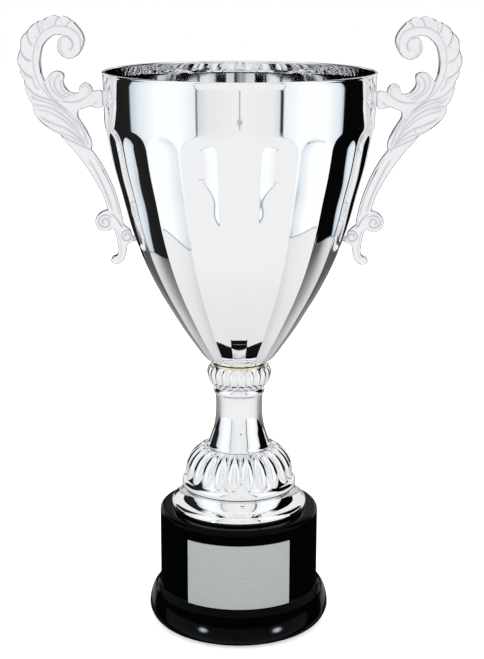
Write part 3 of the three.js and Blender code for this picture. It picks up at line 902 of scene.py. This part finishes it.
def wall_paint():
    """The walls, painted by azimuth and elevation from the middle, in degrees: a pale card in
    front with a lens and its stand in it, a soft box on either side of it, black cloths beyond
    them, a grey wall behind and a pale ceiling. Below 10 degrees down the card widens."""
    f = Room("studio_walls")
    at = f.node("ShaderNodeVectorMath", {"operation": "NORMALIZE"},
                f.node("ShaderNodeTexCoord", output=3))
    x, y, z = f.split(at)
    azimuth = f.azimuth(x, y)
    elevation = f.node("ShaderNodeMath", {"operation": "ARCSINE"}, z) * (180 / math.pi)
    card = [(-34.2, 0.72), (-26, 0.86), (0, 0.93), (27, 0.88), (33.2, 0.74)]
    left = [(-180, 0.45), (-165.5, 0.02), (-161.6, 0.02), (-160, 0.85),
            (-134.5, 0.90), (-133, 0.012), (-102.8, 0.016), (-101.3, (0.56, 0.62, 0.69)),
            (-92, (0.82, 0.87, 0.91)), (-72, (1.06, 1.07, 1.08)), (-50, (1.05, 1.07, 1.09)),
            (-36.2, (0.86, 0.91, 0.96)), (-35.6, 0.10), (-34.8, 0.10)]
    right = [(33.7, 0.03), (35.3, 0.03), (36.1, (0.88, 0.93, 0.97)), (50, (1.06, 1.07, 1.08)),
             (76, (1.07, 1.07, 1.07)), (91, (0.80, 0.86, 0.91)), (94.5, (0.50, 0.57, 0.64)),
             (95.5, 0.002), (128.5, 0.002), (130, 0.92), (160, 0.85), (162, 0.45)]
    sideways = f.node("ShaderNodeMath", {"operation": "SIGN"}, azimuth)
    lean = f.band(abs(azimuth), [(70, 0), (86, 1), (104, 1), (125, 0)], 0, 180)
    leaning = azimuth + sideways * lean * f.step(elevation, -4, 10) * 10.0
    walls = f.band(leaning, left + card + right, -180, 180)
    low_back = f.step(abs(azimuth), 132, 136) * f.step(elevation, -19, -23)
    walls = f.blend(low_back, walls, (0.05, 0.05, 0.055))
    past_card = abs(azimuth) - (35.0 + (elevation * -1.0 - 10.0).at_least(0.0) * 0.25)
    low_card = f.step(past_card, 0.0, -0.8) * f.step(elevation, -9, -12)
    walls = f.blend(low_card, walls, (0.93, 0.93, 0.93))
    low_line = f.step(abs(past_card - 0.6), 0.9, 0.5) * f.step(elevation, -9, -12)
    walls = f.blend(low_line * 0.8, walls, (0.5, 0.56, 0.62))
    shade = f.blend(f.step(elevation, 52, 60), walls, (0.96, 0.96, 0.96))
    stand = f.step(abs(azimuth), 0.75, 0.45) * f.step(elevation, -9.2, -8.8)
    stand = stand * f.step(elevation, -2.0, -3.0)
    arms = f.step(abs(azimuth), 2.4, 2.0) * f.step(abs(elevation + 8.0), 0.4, 0.2)
    shade = f.blend(stand.at_least(arms) * 0.6, shade, (0.2, 0.2, 0.21))
    aside = ((azimuth - 7.0) / 5.0) ** 2.0
    for middle, half in ((11.3, 1.3), (20.4, 1.2)):
        speck = aside + ((elevation - middle) / half) ** 2.0
        shade = f.blend(f.step(speck, 1.1, 0.8), shade, (0.02, 0.02, 0.022))
    return f.glow(shade)


def table_paint():
    """The table under the cup, a glow seen only in mirror reflections, painted by place with light
    and shade: white toward the camera, painted shade grey at the sides and greyer round the
    opening, and darker still beside the black cloths."""
    f = Room("studio_table")
    x, y, _ = f.split(f.node("ShaderNodeTexCoord", output=3))
    round_it = abs(f.azimuth(x, y))
    away = f.root(x * x + y * y)
    shade = f.band(round_it, [(0, 0.94), (55, 0.93), (80, 0.86), (100, 0.66), (118, 0.42),
                              (140, 0.34), (180, 0.38)], 0, 180)
    # painted shade: greyer toward the opening under the cup
    under = f.step(away, 0.17, 0.06)
    shade = f.blend(under * 0.6, shade, (0.78, 0.785, 0.80))
    # painted shade: darker beside the black cloths
    beside = f.step(round_it, 92, 108) * f.step(away, 0.13, 0.29)
    shade = f.blend(beside * 0.85, shade, (0.05, 0.055, 0.055))
    ahead = (y * -1.0).at_least(0.0)
    left, right = (sign * x + ahead * taper - side
                   for sign, taper, side in zip((-1, 1), TABLE_TAPERS, TABLE_SIDES))
    rim = f.step(left.at_least(right), -0.006, -0.003)
    shade = f.blend(rim * f.step(round_it, 100, 90) * f.step(round_it, 28, 40), shade, (0.36, 0.42, 0.48))
    return f.glow(shade)


def spot_paint():
    """A small round lamp: brightest in the middle, dimmer and bluer at the edge."""
    f = Room("studio_spot")
    x, y, z = f.split(f.node("ShaderNodeTexCoord", output=3))
    middle = f.step(f.root(x * x + y * y + z * z), 0.9, 0.3)
    return f.glow(f.blend(middle, (2.4, 2.8, 3.8), (112.0, 119.0, 139.0)))


def only_mirrored(thing):
    """Leaves a stage object to mirror reflections alone."""
    thing.visible_camera = False
    thing.visible_diffuse = False
    thing.visible_shadow = False
    thing.visible_transmission = False
    thing.visible_volume_scatter = False


def make_walls(radius=3.0):
    """A closed ball round the object, facing in: rings of points at even elevations e, at
    (cos e sin a, -cos e cos a, sin e) times the radius, with a fan of triangles at each pole."""
    columns, rows = 64, 33
    a = np.linspace(0, TAU, columns, endpoint=False)
    e = np.linspace(-math.pi / 2, math.pi / 2, rows)[1:-1, None]
    ball = np.stack([np.cos(e) * np.sin(a), -np.cos(e) * np.cos(a), np.sin(e) + 0 * a], -1)
    points = np.vstack([ball.reshape(-1, 3), [(0, 0, -1), (0, 0, 1)]]) * radius
    quads = grid_faces(rows - 2, columns, False, True)[:, ::-1].tolist()
    low, high = len(points) - 2, len(points) - 1
    last = (rows - 3) * columns
    i = np.arange(columns)
    over = (i + 1) % columns
    caps = np.vstack([np.stack([low + 0 * i, over, i], 1),
                      np.stack([high + 0 * i, last + i, last + over], 1)])
    walls = mesh_object("studio_walls", points, quads + caps.tolist(), wall_paint())
    walls.location = (0, 0, 0.2)
    only_mirrored(walls)


def make_table():
    """A white table that runs toward the camera, level with the top of the base and open round
    it. Its sides are straight and close in toward the camera, and the points lie on straight
    spokes from the opening: a spoke at angle a ends where r sin a = side - taper r cos a."""
    a = np.linspace(0, TAU, 144, endpoint=False)
    side = np.where(np.sin(a) < 0, *TABLE_SIDES)
    taper = np.where(np.sin(a) < 0, *TABLE_TAPERS) * np.maximum(np.cos(a), 0)
    across = side / (np.abs(np.sin(a)) + taper + 1e-6)
    along = np.where(np.cos(a) > 0, 0.95, 0.45) / np.maximum(np.abs(np.cos(a)), 1e-6)
    reach = np.minimum(across, along)
    t = np.linspace(0, 1, 8)[:, None]
    r = TABLE_OPENING + (reach - TABLE_OPENING) * t
    points = np.stack([r * np.sin(a), -r * np.cos(a), 0 * r + TABLE_LEVEL], -1).reshape(-1, 3)
    faces = grid_faces(8, 144, False, True)[:, ::-1].tolist()
    only_mirrored(mesh_object("studio_table", points, faces, table_paint()))


def make_cloth(name, level, inner, outer):
    """A flat black ring: what lies past it isn't mirrored in the base."""
    a = np.linspace(0, TAU, 64, endpoint=False)
    r = np.array([[inner], [outer]])
    points = np.stack([r * np.sin(a), -r * np.cos(a), 0 * r * a + level], -1).reshape(-1, 3)
    f = Room(name)
    speck = f.noise(f.place(), 30, 2)
    cloth = f.glow(f.blend(speck, (0.004, 0.005, 0.005), (0.008, 0.009, 0.009)))
    only_mirrored(mesh_object(name, points, grid_faces(2, 64, False, True).tolist(), cloth))


def make_spot(name, place, size):
    """A small round card, faced at the base from below the table."""
    a = np.linspace(0, TAU, 24, endpoint=False)
    points = np.stack([np.cos(a), np.sin(a), 0 * a], -1)
    spot = mesh_object(name, points, [list(range(24))], spot_paint())
    spot.location = place
    spot.scale = (size, size, size)
    spot.rotation_euler = Vector(place).to_track_quat("Z", "Y").to_euler()
    only_mirrored(spot)


def make_lamp(name, place, aim, size, power):
    """A soft rectangular lamp that lights matt surfaces and isn't mirrored."""
    data = bpy.data.lights.new(name, "AREA")
    data.shape = "RECTANGLE"
    data.size, data.size_y = size
    data.energy = power
    lamp = bpy.data.objects.new(name, data)
    bpy.context.scene.collection.objects.link(lamp)
    lamp.location = place
    lamp.rotation_euler = (Vector(aim) - Vector(place)).to_track_quat("-Z", "Y").to_euler()
    lamp.visible_glossy = False


disc_floor(4.0)
make_walls()
make_table()
make_cloth("shade_cloth", 0.018, 0.047, 0.20)
make_spot("spot_left", (-0.174, -0.2045, -0.0285), 0.033)
make_spot("spot_right", (0.180, -0.185, -0.0320), 0.033)
make_lamp("soft_left", (-1.2, -0.9, 0.9), (0, 0, 0.15), (0.9, 1.2), 6)
make_lamp("soft_right", (1.2, -0.9, 0.9), (0, 0, 0.15), (0.9, 1.2), 6)

world = bpy.data.worlds.new("white_room")
world.use_nodes = True
world.node_tree.nodes["Background"].inputs[0].default_value = (1, 1, 1, 1)
world.node_tree.nodes["Background"].inputs[1].default_value = 1.0
bpy.context.scene.world = world
bpy.context.scene.view_settings.view_transform = "Standard"

# ---- the camera ----
data = bpy.data.cameras.new("camera")
data.lens = 81.14
data.sensor_width = 36
camera = bpy.data.objects.new("camera", data)
tilt = Matrix.Rotation(math.radians(75.59), 4, "X") @ Matrix.Rotation(0.0028, 4, "Z")
camera.matrix_world = Matrix.Translation((0.00146, -0.7704, 0.3615)) @ tilt
bpy.context.scene.collection.objects.link(camera)
bpy.context.scene.camera = camera
